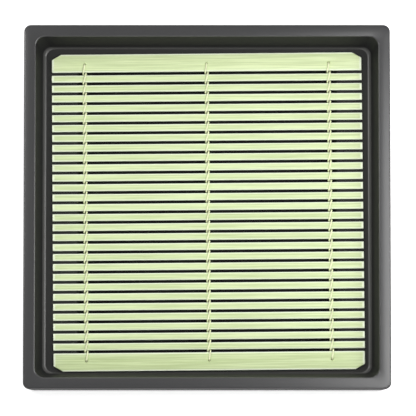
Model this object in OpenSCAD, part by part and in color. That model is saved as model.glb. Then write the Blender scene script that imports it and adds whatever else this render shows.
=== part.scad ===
// Square moulded serving tray with a loose drainer mat of slats twined together by three cords.
// Millimetres. The origin is on the table, under the middle of the tray: +X right, +Y rear, +Z up.

/* [Tray rim and opening] */
// Width of the flat rim
rim_w = 6.85; // [6:0.05:9]
// Corner radius of the rim's outside
rim_corner_r = 4; // [3:0.5:8]
// Corner radius of the opening
opening_corner_r = 5.5; // [4:0.5:9]

/* [Tray sides, shelf and floor] */
// Depth from the rim's top to the shelf under the mat
recess_h = 19.5; // [14:0.5:22]
// How far each wall leans out over that depth
wall_lean = 4.15; // [2.5:0.05:6]
// Corner radius at the foot of the walls
recess_corner_r = 4.5; // [3:0.5:7]
// Width of the shelf at the front and rear
end_shelf = 5.5; // [4.5:0.1:6]
// Corner radius of the well
well_corner_r = 4; // [2.5:0.5:4.5]
// Height of the shelf over the well's floor
well_h = 7; // [5:0.5:9]
// How far the well's sides lean in on their way down
well_draft = 1.5; // [0.5:0.1:2]
// Thickness of the floor under the well
floor_t = 2.5; // [1.8:0.1:4]
// How far the tray's outside leans in on its way down
side_lean = 1.9; // [0:0.1:4]

/* [Tray roundings] */
// Run of the rounding along the rim's edges
rim_round = 0.9; // [0.5:0.1:1.2]
// Run of the hollow rounding where the walls meet the shelf
recess_round = 0.2; // [0.2:0.1:1]
// Run of the rounding at the shelf's edge
shelf_round = 0.7; // [0.4:0.1:1]
// Run of the hollow rounding round the well's floor
well_round = 2; // [1:0.1:3]
// Run of the rounding round the underside
base_round = 1; // [0.5:0.1:2]

/* [Mat] */
// Number of narrow slats between the two end boards
slat_count = 28; // [24:1:32]
// Width of a narrow slat
slat_w = 4.1; // [3.5:0.05:5]
// Thickness of all the slats
slat_t = 2; // [1.6:0.1:2.6]
// Width of the board at each end of the mat
board_w = 10.5; // [9:0.1:13]
// Radius of the slats' long edges
edge_r = 0.45; // [0.3:0.05:0.7]
// Length of an end board's corner cut, along the board
cut_l = 5.4; // [3:0.1:8]
// Length of the same cut, across the board
cut_w = 3.1; // [2:0.1:4.5]

/* [Cords] */
// Diameter of the cord
cord_d = 1; // [0.8:0.05:1.3]
// Distance from the middle cord to the left and right ones
cord_step = 71; // [50:0.5:76]
// Distance from a board's inner edge to its cord holes
hole_in = 4.6; // [3.8:0.1:5]
// Diameter of the knots under the front board
knot_d = 2; // [1.8:0.1:2.4]

/* [Room left between the pieces] */
// Between the slats and the shelf that carries them
shelf_room = 0.3; // [0.1:0.05:0.5]
// Between the mat and the foot of the front and rear walls, with the mat in the middle
end_room = 2.45; // [2.2:0.05:4]
// Between the slats' ends and the foot of the side walls, with the mat in the middle
side_room = 4.95; // [2:0.05:6]
// Between a cord and the two slats that it passes between
gap_room = 0.35; // [0.2:0.01:0.4]
// Between a cord and the slats that it crosses
cord_room = 0.12; // [0.1:0.01:0.2]
// Between the outer cords and the well's left and right sides
well_room = 2.8; // [2.4:0.1:8]
// Between a cord and the wall of its hole
hole_room = 0.3; // [0.2:0.01:0.5]
// Between the two strands of a cord where they pass each other in a gap
strand_room = 0.42; // [0.4:0.01:0.6]

/* [Where the mat lies] */
// Turn of the mat in the tray, anticlockwise from above, in degrees
mat_turn = 0.5; // [0:0.05:0.5]
// Place of the mat to the right of the tray's middle
mat_x = 0.5; // [-0.5:0.1:0.5]
// Place of the mat to the rear of the tray's middle
mat_y = -0.9; // [-0.9:0.1:0.9]

/* [Hidden] */
$fn = 32;

// The mat's own frame has its origin in the middle of its length, depth and thickness
slat_gap = cord_d + 2 * gap_room;
slat_pitch = slat_w + slat_gap;
gap_count = slat_count + 1;
mat_d = 2 * board_w + slat_count * slat_w + gap_count * slat_gap;
board_y = (mat_d - board_w) / 2;
hole_y = mat_d / 2 - board_w + hole_in;
first_gap_y = mat_d / 2 - board_w - slat_gap / 2;
hole_d = cord_d + 2 * hole_room;

// The square recess is made to hold the mat, and the slats' length follows from it
recess_w = mat_d + 2 * end_room;
slat_l = recess_w - 2 * side_room;

// Heights of the tray
shelf_z = floor_t + well_h;
tray_h = shelf_z + recess_h;

// The cord's route: to either side of the middle in a gap, and at full height this far from the gap's middle
strand_x = (cord_d + strand_room) / 2;
cord_z = slat_t / 2 + cord_room + cord_d / 2;
shoulder_y = 0.3 * cord_d;
cord_sides = 8;

// The cords hang into the well below the slats, so it reaches past the outer ones
well_w = 2 * (cord_step + strand_x + cord_d / 2 + well_room);
well_d = recess_w - 2 * end_shelf;

function slat_name(i) = str("slat_", i < 10 ? "0" : "", i);
slat_numbers = [1:slat_count];
cord_names = ["left_cord", "middle_cord", "right_cord"];

// --- Tray: one solid, lofted through rounded rectangles ---

// A bend of the tray's profile, as steps along a curve from the run before it to the run after it.
// A profile point is [half width, half depth, corner radius, height].
bend_steps = 4;
function toward(p, q, run) = p + (q - p) * run / norm([q[0] - p[0], q[3] - p[3]]);
function bend(a, p, b) = [for (i = [0:bend_steps])
    let (s = i / bend_steps) (1 - s) * (1 - s) * a + 2 * s * (1 - s) * p + s * s * b];
function bent(path) = [for (i = [0:len(path) - 1])
    let (p = path[i][0], run = path[i][1])
    each run == 0 ? [p] : bend(toward(p, path[i - 1][0], run), p, toward(p, path[i + 1][0], run))];

corner_steps = 6;
function ring(p) = [for (q = [0:3], k = [0:corner_steps])
    let (a = 90 * (q + k / corner_steps),
         sx = q == 0 || q == 3 ? 1 : -1,
         sy = q < 2 ? 1 : -1)
    [sx * (p[0] - p[2]) + p[2] * cos(a), sy * (p[1] - p[2]) + p[2] * sin(a), p[3]]];

// A closed body through rings of equal length; its two ends are flat
module loft(rings) {
    n = len(rings[0]);
    last = len(rings) - 1;
    points = [for (r = rings) each r];
    sides = [for (j = [0:last - 1], i = [0:n - 1])
        let (a = j * n + i, b = j * n + (i + 1) % n)
        each [[a, a + n, b + n], [a, b + n, b]]];
    polyhedron(points, concat(sides, [[for (i = [0:n - 1]) i], [for (i = [n - 1:-1:0]) last * n + i]]));
}

function square_at(half, r, z, run) = [[half, half, r, z], run];
function well_at(out, z, run) = [[well_w / 2 + out, well_d / 2 + out, well_corner_r + out, z], run];

recess_half = recess_w / 2;
opening_half = recess_half + wall_lean;
rim_half = opening_half + rim_w;
base_half = rim_half - side_lean;
// How far the flat faces run on past the last rounding, where the two ends of the profile close
face_run = 3;

// From the underside out and up to the rim, and down again inside to the well's floor
tray_path = [
    square_at(base_half - face_run, rim_corner_r, 0, 0),
    square_at(base_half, rim_corner_r, 0, base_round),
    square_at(rim_half, rim_corner_r, tray_h, rim_round),
    square_at(opening_half, opening_corner_r, tray_h, rim_round),
    square_at(recess_half, recess_corner_r, shelf_z, recess_round),
    well_at(0, shelf_z, shelf_round),
    well_at(-well_draft, floor_t, well_round),
    well_at(-well_draft - face_run, floor_t, 0)
];

module tray()
    color([0.06, 0.06, 0.065])
        loft([for (p = bent(tray_path)) ring(p)]);

// --- Mat ---

// Puts what is drawn in the mat's own frame on the shelf
module on_shelf()
    translate([mat_x, mat_y, shelf_z + shelf_room + slat_t / 2]) rotate([0, 0, mat_turn]) children();

// A bar along X with round long edges, centred
module bar(width)
    rotate([90, 0, 90]) linear_extrude(height = slat_l, center = true) {
        square([width - 2 * edge_r, slat_t], center = true);
        square([width, slat_t - 2 * edge_r], center = true);
        for (x = [-1, 1], y = [-1, 1])
            translate([x * (width / 2 - edge_r), y * (slat_t / 2 - edge_r)]) circle(r = edge_r);
    }

module narrow_slat(i)
    color([0.84, 0.89, 0.68])
        on_shelf() translate([0, first_gap_y - (i - 0.5) * slat_pitch, 0]) bar(slat_w);

// An end board with its outer corners cut off and a hole for each cord, turned half round at the front
module end_board(turn)
    color([0.82, 0.88, 0.66])
        on_shelf() rotate([0, 0, turn]) difference() {
            translate([0, board_y, 0]) bar(board_w);
            for (s = [-1, 1])
                translate([s * slat_l / 2, mat_d / 2, 0]) linear_extrude(height = 2 * slat_t, center = true)
                    polygon([[-s * cut_l, 0], [-s * cut_l, 1], [s, 1], [s, -cut_w], [0, -cut_w]]);
            for (x = cord_step * [-1, 0, 1])
                translate([x, hole_y, 0]) cylinder(d = hole_d, h = 2 * slat_t, center = true);
        }

module rear_end_slat() end_board(0);
module front_end_slat() end_board(180);

// --- Cords: each is folded through the rear board's hole, twined to the front and knotted there ---

// Height sign of the first strand over slat i, where slat 0 is the rear board; the second has the other
function over(i) = i % 2 == 0 ? 1 : -1;

// Route of a strand from the first gap to the last. side is 1 for the first strand and -1 for the second.
// Over a slat it leans to the left on its way to the front; below it leans back.
function strand(side) = [for (g = [0:gap_count - 1])
    let (y = first_gap_y - g * slat_pitch, up = side * over(g))
    each [
        [-strand_x * up, y + shoulder_y, up * cord_z],
        [-strand_x * up, y, 0],
        [-strand_x * up, y - shoulder_y, -up * cord_z]
    ]];

function reversed(list) = [for (i = [len(list) - 1:-1:0]) list[i]];

// Down through the rear board's hole
rear_turn = [
    [0, hole_y - shoulder_y, cord_z],
    [0, hole_y, slat_t / 2],
    [0, hole_y, -slat_t / 2],
    [0, hole_y - shoulder_y, -cord_z]
];
// Down through the front board's hole, to the knot that joins the two ends
knot_z = -slat_t / 2 - cord_room - knot_d / 2;
knot_middle = [0, -hole_y + shoulder_y + knot_d / 2, knot_z];
front_turn = [
    [0, -hole_y + shoulder_y, cord_z],
    [0, -hole_y, slat_t / 2],
    [0, -hole_y, -slat_t / 2],
    [0, -hole_y + shoulder_y, knot_z],
    knot_middle,
    [0, -hole_y + shoulder_y + knot_d, knot_z]
];
route = concat(
    reversed(rear_turn), strand(1),
    over(gap_count) > 0 ? front_turn : reversed(front_turn), reversed(strand(-1)));

function unit(v) = v / norm(v);

// A closed tube round the route. Each ring stands across the route there, and starts from the X axis.
module closed_tube(path, girths, sides) {
    n = len(path);
    points = [for (i = [0:n - 1])
        let (t = unit(path[(i + 1) % n] - path[(i + n - 1) % n]),
             u = unit([1, 0, 0] - t * t[0]),
             v = cross(t, u))
        for (k = [0:sides - 1])
            let (a = 360 * k / sides) path[i] + girths[i] / 2 * (cos(a) * u + sin(a) * v)];
    faces = [for (i = [0:n - 1], k = [0:sides - 1])
        let (a = i * sides + k, b = i * sides + (k + 1) % sides,
             c = ((i + 1) % n) * sides + k, e = ((i + 1) % n) * sides + (k + 1) % sides)
        each [[a, e, b], [a, c, e]]];
    polyhedron(points, faces);
}

girths = [for (p = route) p == knot_middle ? knot_d : cord_d];

module cord(place)
    color([0.80, 0.87, 0.60])
        on_shelf() translate([cord_step * place, 0, 0]) closed_tube(route, girths, cord_sides);

tray();
rear_end_slat();
for (i = slat_numbers) narrow_slat(i);
front_end_slat();
for (k = [0:2]) cord(k - 1);
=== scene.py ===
# %% [markdown]
# A square black serving tray holds a loose drainer mat of pale green slats, tied by three cords.
# The CAD model gives every size and place. It is loaded here as a fixed frame, and the pieces made below
# ride on its bodies, so that the mat can be lifted out and rolled up.

# %% The frame
import math

import bmesh
import bpy
from mathutils import Matrix, Vector


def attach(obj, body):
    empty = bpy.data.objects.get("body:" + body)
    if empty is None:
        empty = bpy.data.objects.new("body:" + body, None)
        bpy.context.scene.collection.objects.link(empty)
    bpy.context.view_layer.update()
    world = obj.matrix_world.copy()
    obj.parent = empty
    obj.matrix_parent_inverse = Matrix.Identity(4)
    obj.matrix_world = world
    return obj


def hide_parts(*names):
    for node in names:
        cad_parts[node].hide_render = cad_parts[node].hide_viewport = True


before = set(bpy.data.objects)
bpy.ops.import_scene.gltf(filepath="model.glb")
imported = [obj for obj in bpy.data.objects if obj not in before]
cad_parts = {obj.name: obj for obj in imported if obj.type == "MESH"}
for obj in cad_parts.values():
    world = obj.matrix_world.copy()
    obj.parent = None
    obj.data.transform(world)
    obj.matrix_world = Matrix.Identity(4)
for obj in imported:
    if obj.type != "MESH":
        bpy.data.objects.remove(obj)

MM = 0.001
scene = bpy.context.scene
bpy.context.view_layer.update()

# %% [markdown]
# The sizes of the real tray and mat come first, under a maker's names. The tray is described from outside in:
# a rim, walls that lean out, a shelf that carries the mat, and a well that catches the water.

# %% Sizes in millimetres
tray_h, rim_half, base_half = 29.0, 106.0, 104.1
opening_half, recess_half = 99.15, 95.0
shelf_z, floor_z = 9.5, 2.5
well_w_half, well_d_half, well_r, well_draft = 75.01, 89.5, 4.0, 1.5
crown = 0.18  # how far the rim's edges lie below its middle
slat_count, slat_w, slat_t, slat_l = 28, 4.1, 2.0, 180.1
slat_gap, board_w = 1.7, 10.5
slat_pitch = slat_w + slat_gap
mat_d = 2 * board_w + slat_count * slat_w + (slat_count + 1) * slat_gap
first_gap_y = mat_d / 2 - board_w - slat_gap / 2
mat_place, mat_turn = Vector((0.5, -0.9, 10.8)), math.radians(0.5)
print("The mat is", slat_l, "by", round(mat_d, 2), "mm")

# %% [markdown]
# The mat lies turned by half a degree. Every piece of it is made straight, in the mat's own frame, and this
# matrix puts the finished mesh in its place, so that the object itself stays at the origin.

# %% The mat's place
mat_matrix = Matrix.Translation(mat_place * MM) @ Matrix.Rotation(mat_turn, 4, "Z")
body_names = ["rear_end_slat"] + [f"slat_{i:02d}" for i in range(1, slat_count + 1)] + ["front_end_slat"]


def slat_y(i):
    """Middle of slat i in the mat's frame, in millimetres, where 0 is the rear board."""
    if i == 0:
        return (mat_d - board_w) / 2
    if i == slat_count + 1:
        return -(mat_d - board_w) / 2
    return first_gap_y - (i - 0.5) * slat_pitch


print(len(body_names), "slats and boards, the first at", round(slat_y(0), 2), "mm")

# %% [markdown]
# The photograph was taken from far off and almost straight above, tipped seven degrees towards the front.
# A long lens at a great distance gives the same weak perspective. The camera aims a hair beside the tray's
# middle, because the tray doesn't stand exactly in the middle of the picture.

# %% Camera
tilt, distance = math.radians(7.0), 3.2
picture_px, rim_px = 416, 367.5  # width of the picture, and of the rim in it
aim = Vector((0.55, -1.05, tray_h))
back = Vector((0, -math.sin(tilt), math.cos(tilt)))
camera_data = bpy.data.cameras.new("camera")
camera_data.sensor_width = 36
camera_data.lens = camera_data.sensor_width * (rim_px / picture_px) * distance / (2 * rim_half * MM)
camera = bpy.data.objects.new("camera", camera_data)
scene.collection.objects.link(camera)
camera.rotation_mode = "QUATERNION"
camera.rotation_quaternion = (-back).to_track_quat("-Z", "Y")
camera.location = aim * MM + back * distance
camera_data.clip_start, camera_data.clip_end = 0.1, 50
scene.camera = camera
scene.view_settings.view_transform = "Standard"
print("Lens", round(camera_data.lens, 1), "mm")

# %% [markdown]
# Materials and Geometry Nodes are both trees of nodes, and their sums are easier to read as sums. This class
# wraps one socket: an expression with it adds the Math nodes, and `node` adds a node of any other type.


# %% Sums with sockets
class Wire:
    """A socket of a node tree, to reckon with."""

    def __init__(self, tree, socket=None):
        self.tree, self.socket = tree, socket

    def node(self, kind, settings=None, inputs=None, out=0):
        """A new node: its settings first, then the values or wires of its sockets. Returns one output."""
        made = self.tree.nodes.new(kind)
        for name, value in (settings or {}).items():
            setattr(made, name, value)
        for key, value in (inputs or {}).items():
            if isinstance(value, Wire):
                self.tree.links.new(value.socket, made.inputs[key])
            else:
                made.inputs[key].default_value = value
        return Wire(self.tree, made.outputs[out] if made.outputs else None)

    def sum(self, operation, a, b=0.0):
        return self.node("ShaderNodeMath", {"operation": operation}, {0: a, 1: b})

    def __add__(self, other):
        return self.sum("ADD", self, other)

    def __sub__(self, other):
        return self.sum("SUBTRACT", self, other)

    def __rsub__(self, other):
        return self.sum("SUBTRACT", other, self)

    def __mul__(self, other):
        return self.sum("MULTIPLY", self, other)

    __radd__, __rmul__ = __add__, __mul__

    def __truediv__(self, other):
        return self.sum("DIVIDE", self, other)

    def __rtruediv__(self, other):
        return self.sum("DIVIDE", other, self)

    def __pow__(self, other):
        return self.sum("POWER", self, other)

    def step(self, low, high):
        """0 up to low, 1 from high, and a smooth rise between them."""
        return self.node("ShaderNodeMapRange", {"interpolation_type": "SMOOTHSTEP"},
                         {"Value": self, "From Min": low, "From Max": high})


print("Sums with sockets are ready")

# %% [markdown]
# Every finish starts the same way: a Principled shader, and the place on the piece in millimetres, which is
# Blender's Object coordinate times 1000. Patterns then have the scale of the real thing.


# %% Start of a material
def new_material(name):
    """A material with an empty tree, a wire in it, and the place on the piece in millimetres."""
    material = bpy.data.materials.new(name)
    material.use_nodes = True
    material.node_tree.nodes.clear()
    wire = Wire(material.node_tree)
    place = stretched(wire.node("ShaderNodeTexCoord", out=3), (1000, 1000, 1000))
    return material, wire, place


def stretched(vector, factors):
    return vector.node("ShaderNodeVectorMath", {"operation": "MULTIPLY"}, {0: vector, 1: factors})


def parts_of(vector):
    """The x, y and z of a vector, as wires."""
    x = vector.node("ShaderNodeSeparateXYZ", None, {0: vector})
    return [Wire(vector.tree, output) for output in x.socket.node.outputs]


def noise(place, scale, detail=2.0):
    """Noise between 0 and 1; a feature is about 1 / scale millimetres wide."""
    return place.node("ShaderNodeTexNoise", None, {"Vector": place, "Scale": scale, "Detail": detail})


def mixed(share, first, second):
    """Two colours, mixed by a wire; each is an RGB tuple or a wire."""
    inputs = {0: share}
    for key, colour in ((6, first), (7, second)):
        inputs[key] = colour if isinstance(colour, Wire) else (*colour, 1)
    return share.node("ShaderNodeMix", {"data_type": "RGBA"}, inputs, 2)


def principled(wire, **sockets):
    """The shader and the output. Names of sockets are written with _ for a space."""
    inputs = {name.replace("_", " "): value for name, value in sockets.items()}
    surface = wire.node("ShaderNodeBsdfPrincipled", None, inputs)
    wire.node("ShaderNodeOutputMaterial", None, {"Surface": surface})


def bump(height, depth_mm):
    """Height from 0 to 1, as relief of that depth."""
    return height.node("ShaderNodeBump", None, {"Height": height, "Distance": depth_mm * MM})


print("Materials can be made")

# %% [markdown]
# The tray is black moulded plastic with a fine grain from the mould, a few cloudy patches where it was wiped,
# and some grains of dust. The dust is the bright core of a few cells of a Voronoi pattern: each cell draws a
# colour, and only the cells with much red in theirs get a grain. Hands and stacked trays have rubbed the rim
# to a smooth coat; its colour, greyer than the rest, is painted light, for the light that falls on the rim
# and not down into the tray. Along the rounded foot of the walls a pale, half glossy line is painted, a
# painted highlight, and below it the shelf and the well are painted a lighter grey, painted light that lifts
# the shade under the mat. The rim, the line and the lighter grey are found by their height over the table,
# and the last two also by their distance from the middle, because they are only on the inner side of the
# walls.

# %% Black plastic
black_plastic, wire, place = new_material("black_plastic")
clouds = noise(place, 0.035, 3.0)
grain = noise(place, 2.2, 3.0)
to_core = place.node("ShaderNodeTexVoronoi", None, {"Vector": place, "Scale": 0.09})
cell_colour = place.node("ShaderNodeTexVoronoi", None, {"Vector": place, "Scale": 0.09}, 1)
cell_red = cell_colour.node("ShaderNodeSeparateColor", None, {0: cell_colour})
dust = (1 - to_core.step(0.02, 0.035)) * cell_red.step(0.80, 0.82)
x, y, height = parts_of(place)
from_middle = x.sum("MAXIMUM", x.sum("ABSOLUTE", x), y.sum("ABSOLUTE", y))
# The rim's top gets a greyer colour, a painted light for the light that falls on the rim and not into the
# tray, and a smooth coat.
rim_painted_light_and_coat = height.step(tray_h - 1.2, tray_h - 0.3)
wall_middle = (recess_half + base_half) / 2
inside = 1 - from_middle.step(wall_middle - 1, wall_middle + 1)
# Along the foot of the inner walls a pale line is painted, a painted highlight, and a coat makes it half
# glossy.
foot_highlight_and_coat = height.step(shelf_z + 0.01, shelf_z + 0.06) * (1 - height.step(shelf_z + 1.2, shelf_z + 3.0)) * inside
# The shelf and the well under the mat are painted a lighter grey: painted light that lifts the shade under
# the mat.
well_painted_light = height.step(1.0, 2.0) * (1 - height.step(shelf_z, shelf_z + 0.3)) * inside
black = mixed(clouds, (0.009, 0.009, 0.0095), (0.012, 0.012, 0.0125))
# The rim's greyer colours are painted light.
rim_painted_light_colour = mixed(clouds, (0.019, 0.019, 0.020), (0.027, 0.027, 0.028))
# The first two colours are painted light: a lighter grey for the shade under the mat, and a pale painted
# highlight at the walls' foot. The dust is real.
well_painted_light_colour, foot_painted_highlight_colour, dust_colour = (0.021, 0.021, 0.020), (0.075, 0.075, 0.072), (0.16, 0.16, 0.15)
colour = mixed(rim_painted_light_and_coat, black, rim_painted_light_colour)
for share, layer_colour in ((well_painted_light, well_painted_light_colour), (foot_highlight_and_coat, foot_painted_highlight_colour), (dust, dust_colour)):
    colour = mixed(share, colour, layer_colour)
principled(wire,
           Base_Color=colour,
           Roughness=0.60 + 0.08 * clouds + 0.06 * grain + 0.2 * dust,
           Specular_IOR_Level=0.25, Coat_Weight=rim_painted_light_and_coat + 0.5 * foot_highlight_and_coat, Coat_Roughness=0.22,
           Normal=bump(grain, 0.006))
print("black_plastic:", len(black_plastic.node_tree.nodes), "nodes")

# %% [markdown]
# The tray's mesh could be made with a box and bevels, but each of its edges has its own rounding, and the
# corners change their radius on the way down. So it is lofted: the profile is a list of rounded squares from
# the underside out, up, over the rim and down again inside. The rim is crowned by a fifth of a millimetre,
# which spreads the mirrored lamp over its width. At each bend the profile is eased, and short flat strips
# beside the bends keep the large faces from being shaded as if they were curved.

# %% The tray's profile
bend_steps, corner_steps, strip = 8, 12, 0.12


def toward(p, q, run):
    """The point of the profile that lies a given run from p on the way to q."""
    length = math.hypot(q[0] - p[0], q[3] - p[3])
    return [a + (b - a) * run / length for a, b in zip(p, q)]


def eased(path):
    """The profile with every bend drawn as a curve, and a strip before and after it."""
    result = []
    for i, (p, run) in enumerate(path):
        if not run:
            result.append(p)
            continue
        before, after = path[i - 1][0], path[i + 1][0]
        a, b = toward(p, before, run), toward(p, after, run)
        result.append(toward(p, before, run + strip))
        for k in range(bend_steps + 1):
            s = k / bend_steps
            result.append([(1 - s) ** 2 * u + 2 * s * (1 - s) * v + s * s * w for u, v, w in zip(a, p, b)])
        result.append(toward(p, after, run + strip))
    return result


def square(half, radius, z, run):
    """A bend of the tray: half its width, its corner radius, its height, and how far the easing runs."""
    return (half, half, radius, z), run


def well(out, z, run):
    """A bend of the well, which is an oblong: how far out it lies from the well's edge, and its height."""
    return (well_w_half + out, well_d_half + out, well_r + out, z), run


tray_profile = eased([
    square(base_half - 5, 4, 0, 0),
    square(base_half, 4, 0, 1.0),
    square(rim_half, 4, tray_h - crown, 0.9),
    square((rim_half + opening_half) / 2, 4.8, tray_h, 2.4),
    square(opening_half, 5.5, tray_h - crown, 0.6),
    square(recess_half, 5.0, shelf_z, 2.0),
    well(0, shelf_z, 0.7),
    well(-well_draft, floor_z, 2.0),
    well(-well_draft - 2.3, floor_z, 0),
])
print("The profile has", len(tray_profile), "rounded squares")

# %% [markdown]
# Each rounded square becomes a ring of points, and neighbouring rings are joined by four-sided faces. One
# face closes the underside and one the bottom of the well. The helper for smooth shading is used by most
# pieces.


# %% The tray
def rounded_square(bend):
    """The ring of points of one bend, with a short flat strip beside each rounded corner."""
    half_w, half_d, radius, z = bend
    ring = []
    for quarter in range(4):
        middle_x = (half_w - radius) * (1 if quarter in (0, 3) else -1)
        middle_y = (half_d - radius) * (1 if quarter < 2 else -1)
        angles = [math.pi / 2 * (quarter + k / corner_steps) for k in range(corner_steps + 1)]
        arc = [(middle_x + radius * math.cos(a), middle_y + radius * math.sin(a)) for a in angles]
        first, last = angles[0], angles[-1]
        ring.append((arc[0][0] + strip * 4 * math.sin(first), arc[0][1] - strip * 4 * math.cos(first)))
        ring += arc
        ring.append((arc[-1][0] - strip * 4 * math.sin(last), arc[-1][1] + strip * 4 * math.cos(last)))
    return [(x * MM, y * MM, z * MM) for x, y in ring]


def shade(mesh, sharp_degrees):
    """Smooth shading, with an edge kept sharp where its faces meet at more than the angle."""
    mesh.shade_smooth()
    mesh.set_sharp_from_angle(angle=math.radians(sharp_degrees))


def add_piece(name, mesh, material=None):
    piece = bpy.data.objects.new(name, mesh)
    scene.collection.objects.link(piece)
    if material:
        mesh.materials.append(material)
    return piece


rings = [rounded_square(bend) for bend in tray_profile]
count = len(rings[0])
last_start = (len(rings) - 1) * count
faces = [(start + i, start + count + i, start + count + (i + 1) % count, start + (i + 1) % count)
         for start in range(0, last_start, count) for i in range(count)]
faces += [tuple(range(count)), tuple(last_start + i for i in reversed(range(count)))]
tray_mesh = bpy.data.meshes.new("tray_body")
tray_mesh.from_pydata([point for ring in rings for point in ring], [], faces)
bm = bmesh.new()
bm.from_mesh(tray_mesh)
bmesh.ops.recalc_face_normals(bm, faces=bm.faces)
print("The tray encloses", round(bm.calc_volume() / MM**3 / 1000, 1), "cm3")
bm.to_mesh(tray_mesh)
bm.free()
shade(tray_mesh, 40)
tray_body = add_piece("tray_body", tray_mesh, black_plastic)
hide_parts("tray")
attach(tray_body, "tray")

# %% [markdown]
# The slats are pale green plastic, drawn through a die, which leaves fine streaks along them. The streaks are
# noise on a place that is squeezed along the slat, so that its spots become long. A Mapping node first turns
# the place into the mat's own frame. Each slat has its own tint, and its edges and ends are painted lighter,
# a
# painted highlight: the distance to them follows from the slat's middle and half width, which Geometry Nodes
# store on its mesh.

# %% Pale green plastic
def on_mesh(wire, name):
    """A number stored on the mesh."""
    return wire.node("ShaderNodeAttribute", {"attribute_name": name}, None, 2)


pale_green, wire, place = new_material("pale_green")
place = wire.node("ShaderNodeMapping", {"vector_type": "TEXTURE"},
                  {"Vector": place, "Location": mat_place, "Rotation": (0, 0, mat_turn)})
x, y, _ = parts_of(place)
y = y - on_mesh(wire, "middle")
from_edge = on_mesh(wire, "half_width") - y.sum("ABSOLUTE", y)
from_end = slat_l / 2 - x.sum("ABSOLUTE", x)
streaks = noise(stretched(place, (0.018, 1, 1)), 1.6, 3.0)
fine = noise(stretched(place, (0.05, 1, 1)), 5.0, 2.0)
patches = noise(stretched(place, (0.3, 1, 1)), 0.06, 2.0)
# The edges and ends are painted lighter: a painted highlight along them.
edge_painted_highlight = 1 - from_edge.step(0.45, 0.95) * from_end.step(0.5, 1.7)
depth = 0.50 * streaks.step(0.35, 0.65) + 0.30 * patches + 0.22 * on_mesh(wire, "tint") + 0.15 * fine + 0.12
green = mixed(depth, (0.76, 0.87, 0.50), (0.50, 0.61, 0.29))
edge_painted_highlight_colour = (0.87, 0.94, 0.75)
principled(wire,
           Base_Color=mixed(edge_painted_highlight * (0.55 + 0.6 * streaks), green, edge_painted_highlight_colour),
           Roughness=0.31 + 0.16 * streaks,
           Normal=bump(streaks + 0.5 * fine, 0.05))
print("pale_green:", len(pale_green.node_tree.nodes), "nodes")

# %% [markdown]
# Twenty-eight narrow slats are the same bar, so Geometry Nodes make them. The tree draws a line along the
# slat and sweeps a section along it. The section is a circle pulled out to a superellipse, which gives the
# soft crown and the round long edges of a drawn slat in one formula. The line's points crowd together near
# its ends, where its radius shrinks, and this breaks the sharp end edges.


# %% Running a Geometry Nodes tree
def new_tree(name, sizes):
    """A Geometry Nodes tree with a named input for each size. Returns the tree and its wires."""
    tree = bpy.data.node_groups.new(name, "GeometryNodeTree")
    for size, start in sizes.items():
        socket = tree.interface.new_socket(size, in_out="INPUT", socket_type="NodeSocketFloat")
        socket.default_value = start
    tree.interface.new_socket("Geometry", in_out="OUTPUT", socket_type="NodeSocketGeometry")
    entry = tree.nodes.new("NodeGroupInput")
    return tree, Wire(tree), {size: Wire(tree, entry.outputs[size]) for size in sizes}


def close_tree(shape, material):
    shape = shape.node("GeometryNodeRealizeInstances", None, {0: shape})
    shape = shape.node("GeometryNodeSetMaterial", None, {0: shape, "Material": material})
    shape.node("NodeGroupOutput", None, {0: shape})


def run_tree(name, tree, values, sharp_degrees):
    """The tree's result as a plain mesh, in the mat's place."""
    carrier = add_piece(name + "_carrier", bpy.data.meshes.new(name + "_carrier"))
    modifier = carrier.modifiers.new("shape", "NODES")
    modifier.node_group = tree
    for socket in tree.interface.items_tree:
        if socket.in_out == "INPUT" and socket.name in values:
            modifier[socket.identifier] = float(values[socket.name])
    graph = bpy.context.evaluated_depsgraph_get()
    mesh = bpy.data.meshes.new_from_object(carrier.evaluated_get(graph), depsgraph=graph)
    carrier.modifiers.remove(modifier)
    bpy.data.objects.remove(carrier)
    mesh.name = name
    mesh.transform(mat_matrix)
    shade(mesh, sharp_degrees)
    return add_piece(name, mesh)


print("Trees can be run")

# %% The tree of a slat
slat_tree, wire, size = new_tree(
    "slat", {"Length": slat_l, "Width": slat_w, "Thickness": slat_t, "Squareness": 3.8, "Middle": 0,
             "Tint": 0})


def metres(wire, x=0.0, y=0.0, z=0.0):
    """A vector in metres from wires or numbers in millimetres."""
    return stretched(wire.node("ShaderNodeCombineXYZ", None, {0: x, 1: y, 2: z}), (MM, MM, MM))


def pulled_out(c, power):
    """A sine or cosine made squarer, with its sign kept."""
    return c.sum("SIGN", c) * c.sum("ABSOLUTE", c) ** power


def put_at(shape, x=0.0, y=0.0, z=0.0):
    """The shape with its points moved to places in millimetres."""
    return shape.node("GeometryNodeSetPosition", None,
                      {"Geometry": shape, "Position": metres(shape, x, y, z)})


def stored(shape, name, value):
    """The shape with a number stored on its points, which its material can read."""
    return shape.node("GeometryNodeStoreNamedAttribute", {"data_type": "FLOAT", "domain": "POINT"},
                      {"Geometry": shape, "Name": name, "Value": value})


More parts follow.
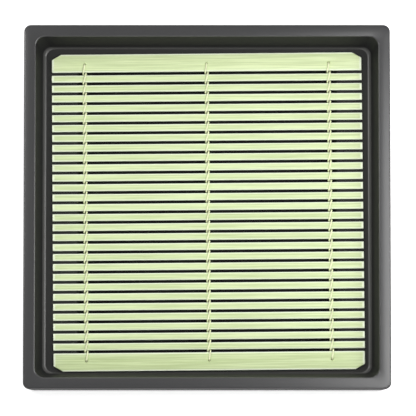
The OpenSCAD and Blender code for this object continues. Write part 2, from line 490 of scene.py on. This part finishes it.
line = wire.node("GeometryNodeCurvePrimitiveLine", None, {"Start": (0, 0, 0), "End": (1, 0, 0)})
line = wire.node("GeometryNodeResampleCurve", None, {"Curve": line, "Count": 9})
t = wire.node("GeometryNodeSplineParameter") * 2 - 1
away = t.sum("ABSOLUTE", t)
broken_end = 1 - 0.1 * away.step(0.76, 1.0)
line = wire.node("GeometryNodeSetCurveRadius", None, {"Curve": line, "Radius": broken_end})
line = put_at(line, (1 - (1 - away) ** 4) * t.sum("SIGN", t) * size["Length"] * 0.5)
section = wire.node("GeometryNodeCurvePrimitiveCircle", {"mode": "RADIUS"}, {"Resolution": 24, "Radius": 1.0})
cosine, sine, _ = parts_of(wire.node("GeometryNodeInputPosition"))
section = put_at(section, pulled_out(cosine, 2 / size["Squareness"]) * size["Width"] * 0.5,
                 pulled_out(sine, 2 / size["Squareness"]) * size["Thickness"] * 0.5)
bar = wire.node("GeometryNodeCurveToMesh", None, {"Curve": line, "Profile Curve": section, "Fill Caps": True})
for name, value in (("tint", size["Tint"]), ("middle", size["Middle"]), ("half_width", size["Width"] * 0.5)):
    bar = stored(bar, name, value)
bar = wire.node("GeometryNodeTransform", None,
                {"Geometry": bar, "Translation": metres(wire, y=size["Middle"])})
close_tree(bar, pale_green)
print("The slat's tree has", len(slat_tree.nodes), "nodes")

# %% [markdown]
# A fixed seed gives every slat its own tint, the same in each run. The finished meshes stand for the CAD
# slats, which have the same size and place.

# %% The narrow slats
import random

lots = random.Random(28)
tints = [lots.uniform(-0.5, 0.5) for _ in body_names]


def dress(piece, body, slot, *nodes):
    """Hides the CAD parts that a piece stands for and makes it move with its body; the slot is not used."""
    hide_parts(*nodes)
    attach(piece, body)


for i in range(1, slat_count + 1):
    piece = run_tree(f"{body_names[i]}_bar", slat_tree, {"Middle": slat_y(i), "Tint": tints[i]}, 45)
    dress(piece, body_names[i], "slat_plastic", body_names[i])
print("Each slat has", len(piece.data.polygons), "faces")

# %% [markdown]
# The boards at the two ends are wider, lose their outer corners to a slanting cut, and have a hole for each
# cord. Their outline is drawn once and pressed to its thickness, the holes are cut with a Boolean, and a
# Bevel rounds every edge. The front board is the rear one, turned half round. The rear board's tint is far
# below the slats', which paints it paler: painted light against the shade that the rear wall casts on it.

# %% The end boards
cord_step, hole_y, hole_d, drill_l = 71.0, mat_d / 2 - board_w + 4.6, 1.3, 4.0
cut_l, cut_w, edge_w = 5.4, 3.1, 0.4


def end_board(name, turn, tint):
    """A board with its cut corners and its holes, turned about the mat's middle."""
    back_y, front_y, end = mat_d / 2, mat_d / 2 - board_w, slat_l / 2
    outline = [(-end, front_y), (end, front_y), (end, back_y - cut_w), (end - cut_l, back_y),
               (cut_l - end, back_y), (-end, back_y - cut_w)]
    bm = bmesh.new()
    face = bm.faces.new([bm.verts.new((x * MM, y * MM, -slat_t / 2 * MM)) for x, y in outline])
    pressed = bmesh.ops.extrude_face_region(bm, geom=[face])["geom"]
    bmesh.ops.translate(bm, verts=[v for v in pressed if isinstance(v, bmesh.types.BMVert)],
                        vec=(0, 0, slat_t * MM))
    bmesh.ops.recalc_face_normals(bm, faces=bm.faces)
    mesh = bpy.data.meshes.new(name)
    bm.to_mesh(mesh)
    bm.free()
    board = add_piece(name + "_blank", mesh)
    drills = bmesh.new()
    for x in (-cord_step, 0, cord_step):
        bmesh.ops.create_cone(drills, cap_ends=True, segments=20, depth=drill_l * MM,
                              radius1=hole_d / 2 * MM, radius2=hole_d / 2 * MM,
                              matrix=Matrix.Translation((x * MM, hole_y * MM, 0)))
    drill = add_piece(name + "_drill", bpy.data.meshes.new(name + "_drill"))
    drills.to_mesh(drill.data)
    drills.free()
    cut = board.modifiers.new("holes", "BOOLEAN")
    cut.object, cut.operation, cut.solver = drill, "DIFFERENCE", "EXACT"
    soft = board.modifiers.new("edges", "BEVEL")
    soft.width, soft.segments, soft.limit_method = edge_w * MM, 4, "ANGLE"
    graph = bpy.context.evaluated_depsgraph_get()
    mesh = bpy.data.meshes.new_from_object(board.evaluated_get(graph), depsgraph=graph)
    for used in (board, drill):
        bpy.data.objects.remove(used)
    facts = {"tint": tint, "middle": (back_y + front_y) / 2 * math.cos(turn), "half_width": board_w / 2}
    for fact, value in facts.items():
        mesh.attributes.new(fact, "FLOAT", "POINT").data.foreach_set("value", [value] * len(mesh.vertices))
    mesh.transform(mat_matrix @ Matrix.Rotation(turn, 4, "Z"))
    shade(mesh, 40)
    return add_piece(name, mesh, pale_green)


# The rear board's low tint paints it paler: painted light against the rear wall's shade.
for i, turn, tint in ((0, 0.0, -1.2), (slat_count + 1, math.pi, 0.4)):
    board = end_board(body_names[i] + "_board", turn, tint)
    dress(board, body_names[i], "slat_plastic", body_names[i])
print("Each board has", len(board.data.polygons), "faces")

# %% [markdown]
# The cord is a soft yellow-green twine of three plies. Its colour is painted lighter on the plies' backs and
# darker in the grooves between them, a painted shade, which the stitches' mesh stores as a number, and a fine
# fibre noise breaks the shine.

# %% Twine
twine, wire, place = new_material("twine")
groove_shade = on_mesh(wire, "groove_shade")
fibre = noise(place, 7.0, 2.0)
wear = noise(place, 0.25, 2.0)
# The groove number paints the grooves darker and the plies' backs lighter: painted shade.
shade_share = groove_shade * 0.4 + fibre * 0.3 + wear * 0.2 - 0.2
principled(wire,
           Base_Color=mixed(shade_share, (0.97, 1.0, 0.70), (0.72, 0.80, 0.40)),
           Roughness=0.65 + 0.2 * fibre,
           Normal=bump(fibre, 0.05))
print("twine:", len(twine.node_tree.nodes), "nodes")

# %% [markdown]
# Each cord is folded through the rear board, and its two strands pass over and under the slats in turn and
# change sides in every gap. So that the mat can bend, the cord is cut into stitches: one strand over and one
# strand under each slat. Each ends in the middle of a gap at half the slats' thickness, which is where the
# hinge turns, so neighbouring stitches stay closed at any bend. A stitch is a section of three plies, swept
# along a squared-off arch, and a tree makes all six of a slat.

# %% The tree of a slat's stitches
peak, side, cord_r, plies, twist = 1.64, 0.78, 0.54, 3, 150
stitch_tree, wire, size = new_tree(
    "stitches", {"Middle": 0, "Half Length": slat_pitch / 2, "Rear Side": side, "Front Side": -side,
                 "Peak": peak, "Radius": cord_r, "Cord Step": cord_step, "Twist": twist})
line = wire.node("GeometryNodeCurvePrimitiveLine", None, {"Start": (0, 0, 0), "End": (1, 0, 0)})
line = wire.node("GeometryNodeResampleCurve", None, {"Curve": line, "Count": 19})
t = wire.node("GeometryNodeSplineParameter")
angle = t * math.pi
way = pulled_out(angle.sum("COSINE", angle), 0.25)
arch_x = size["Rear Side"] + (size["Front Side"] - size["Rear Side"]) * (0.5 - 0.5 * way)
arch_y = way * size["Half Length"]
arch_z = pulled_out(angle.sum("SINE", angle), 0.8) * size["Peak"]
line = put_at(line, arch_x, arch_y, arch_z)
line = wire.node("GeometryNodeSetCurveTilt", None,
                 {"Curve": line, "Tilt": t * size["Twist"] * (math.pi / 180)})
section = wire.node("GeometryNodeCurvePrimitiveCircle", {"mode": "RADIUS"}, {"Resolution": 12, "Radius": 1.0})
ply = wire.node("GeometryNodeSplineParameter") * (2 * math.pi * plies)
dip = 0.5 - 0.5 * ply.sum("COSINE", ply)
# The groove's depth is stored so that the twine paints the grooves darker, a painted shade.
section = stored(section, "groove_shade", dip)
cosine, sine, _ = parts_of(wire.node("GeometryNodeInputPosition"))
girth = size["Radius"] * (1 - 0.16 * dip)
section = put_at(section, cosine * girth, sine * girth)
strand = wire.node("GeometryNodeCurveToMesh", None, {"Curve": line, "Profile Curve": section})
below = wire.node("GeometryNodeTransform", None, {"Geometry": strand, "Rotation": (0, math.pi, 0)})
pair = wire.node("GeometryNodeJoinGeometry", None, {0: strand})
wire.tree.links.new(below.socket, pair.socket.node.inputs[0])
first_cord = metres(wire, size["Cord Step"] * -1, size["Middle"])
cords = wire.node("GeometryNodeMeshLine", {"mode": "OFFSET"},
                  {"Count": 3, "Start Location": first_cord, "Offset": metres(wire, size["Cord Step"])})
stitches = wire.node("GeometryNodeInstanceOnPoints", None, {"Points": cords, "Instance": pair})
close_tree(stitches, twine)
print("The stitches' tree has", len(stitch_tree.nodes), "nodes")

# %% [markdown]
# On the boards a stitch is a little shorter: it runs from the gap to the hole, where the two strands meet.

# %% The stitches
cord_nodes = ("left_cord", "middle_cord", "right_cord")
to_hole = (hole_y - first_gap_y) / 2
for i, body in enumerate(body_names):
    values = {"Middle": slat_y(i)}
    if i == 0:
        values = {"Middle": first_gap_y + to_hole, "Half Length": to_hole, "Rear Side": 0}
    if i == slat_count + 1:
        values = {"Middle": -first_gap_y - to_hole, "Half Length": to_hole, "Front Side": 0}
    stitches = run_tree(f"{body}_stitches", stitch_tree, values, 60)
    dress(stitches, body, "cord", *cord_nodes)
print("Each slat's stitches have", len(stitches.data.polygons), "faces")

# %% [markdown]
# Under the front board each cord ends in a small overhand knot. A knot of this kind is a trefoil, a curve
# with a simple formula, and a round bevel on the curve gives it thickness.

# %% The knots
knot_y, knot_z = -hole_y + 1.3, -2.12
knot_size, knot_half_h, knot_points, knot_cord_r = 0.21, 0.45, 48, 0.42


def knot_mesh(name):
    """The three knots as one mesh, in the mat's place."""
    curve = bpy.data.curves.new(name, "CURVE")
    curve.dimensions, curve.bevel_depth, curve.bevel_resolution = "3D", knot_cord_r * MM, 3
    for x in (-cord_step, 0, cord_step):
        spline = curve.splines.new("POLY")
        spline.points.add(knot_points - 1)
        spline.use_cyclic_u = True
        for k, point in enumerate(spline.points):
            a = 2 * math.pi * k / knot_points
            point.co = ((x + knot_size * (math.sin(a) + 2 * math.sin(2 * a))) * MM,
                        (knot_y + knot_size * (math.cos(a) - 2 * math.cos(2 * a))) * MM,
                        (knot_z - knot_half_h * math.sin(3 * a)) * MM, 1)
    drawn = bpy.data.objects.new(name + "_curve", curve)
    scene.collection.objects.link(drawn)
    graph = bpy.context.evaluated_depsgraph_get()
    mesh = bpy.data.meshes.new_from_object(drawn.evaluated_get(graph), depsgraph=graph)
    bpy.data.objects.remove(drawn)
    mesh.transform(mat_matrix)
    return mesh


knots = add_piece("knots", knot_mesh("knots"), twine)
shade(knots.data, 60)
dress(knots, "front_end_slat", "cord", *cord_nodes)
print("The knots have", len(knots.data.polygons), "faces")

# %% [markdown]
# The floor is plain and white. What the camera and a mirror-like surface see of it glows a little, so that it
# meets the white background, while a plain diffuse part keeps the tray's soft shadow. It lies a hair below
# the tray's underside, so that the two faces don't fall on one another.

# %% Floor
floor_half, floor_drop = 6, 0.05 * MM  # in metres


def seen_rays(wire):
    """Two wires: 1 for a ray from the camera, a mirror or glass, and 1 for a ray from a mirror alone."""
    rays = wire.node("ShaderNodeLightPath").socket.node.outputs
    camera_ray, mirror_ray, glass_ray = [
        Wire(wire.tree, rays[kind]) for kind in ("Is Camera Ray", "Is Glossy Ray", "Is Transmission Ray")]
    seen = camera_ray.sum("MAXIMUM", camera_ray, mirror_ray)
    return seen.sum("MAXIMUM", seen, glass_ray), mirror_ray


white_floor, wire, _ = new_material("white_floor")
seen, _ = seen_rays(wire)
matt = wire.node("ShaderNodeBsdfDiffuse", None, {"Color": (0.9, 0.9, 0.9, 1)})
glow = wire.node("ShaderNodeEmission", None, {"Color": (1, 1, 1, 1), "Strength": seen * 0.66})
surface = wire.node("ShaderNodeAddShader", None, {0: matt, 1: glow})
wire.node("ShaderNodeOutputMaterial", None, {"Surface": surface})
floor_mesh = bpy.data.meshes.new("floor")
corners = [(x * floor_half, y * floor_half, -floor_drop) for x, y in ((-1, -1), (1, -1), (1, 1), (-1, 1))]
floor_mesh.from_pydata(corners, [], [(0, 1, 2, 3)])
floor = add_piece("floor", floor_mesh, white_floor)
print("The floor is", 2 * floor_half, "m wide")

# %% [markdown]
# The main light is a soft box close above the tray, to the right: the right side of the rim mirrors its edge,
# and every cord has its shadow on the left. A large window light from the rear makes the rear edges of the
# slats brighter. Two lamps, in front and at the left, fill in from the other sides. Places and sizes of the
# lamps are in metres. The world fills the shadows evenly. The camera sees it white, and so do mirrors, except
# straight overhead, where a room's ceiling is darker.

# %% Lights
def soft_light(name, place, aim, width, depth, watts):
    """A lamp with a flat oblong face, turned towards its aim."""
    light = bpy.data.lights.new(name, "AREA")
    light.shape, light.size, light.size_y, light.energy = "RECTANGLE", width, depth, watts
    lamp = bpy.data.objects.new(name, light)
    scene.collection.objects.link(lamp)
    lamp.location = place
    lamp.rotation_euler = (Vector(aim) - Vector(place)).to_track_quat("-Z", "X").to_euler()


soft_light("soft_box", (0.345, 0.00, 0.62), (0.25, 0.00, 0), 0.50, 0.32, 3.1)
soft_light("window", (-0.30, 1.20, 1.10), (0, 0, 0), 1.0, 1.0, 5.2)
soft_light("front_lamp", (0.10, -1.20, 0.75), (0, 0, 0), 0.9, 0.5, 3.2)
soft_light("left_lamp", (-0.42, 0.20, 0.90), (-0.1, 0.03, 0), 0.25, 0.25, 2.0)
world = bpy.data.worlds.new("room")
scene.world = world
world.use_nodes = True
world.node_tree.nodes.clear()
wire = Wire(world.node_tree)
seen, mirrored = seen_rays(wire)
_, _, up = parts_of(wire.node("ShaderNodeTexCoord", out=0))
strength = (seen * 0.72 + 0.28) * (1 - 0.6 * mirrored * up.step(0.6, 0.97))
sky = wire.node("ShaderNodeBackground", None, {"Color": (1, 1, 1, 1), "Strength": strength})
wire.node("ShaderNodeOutputWorld", None, {"Surface": sky})
print("Lit by a soft box, a window, two lamps and the white room")
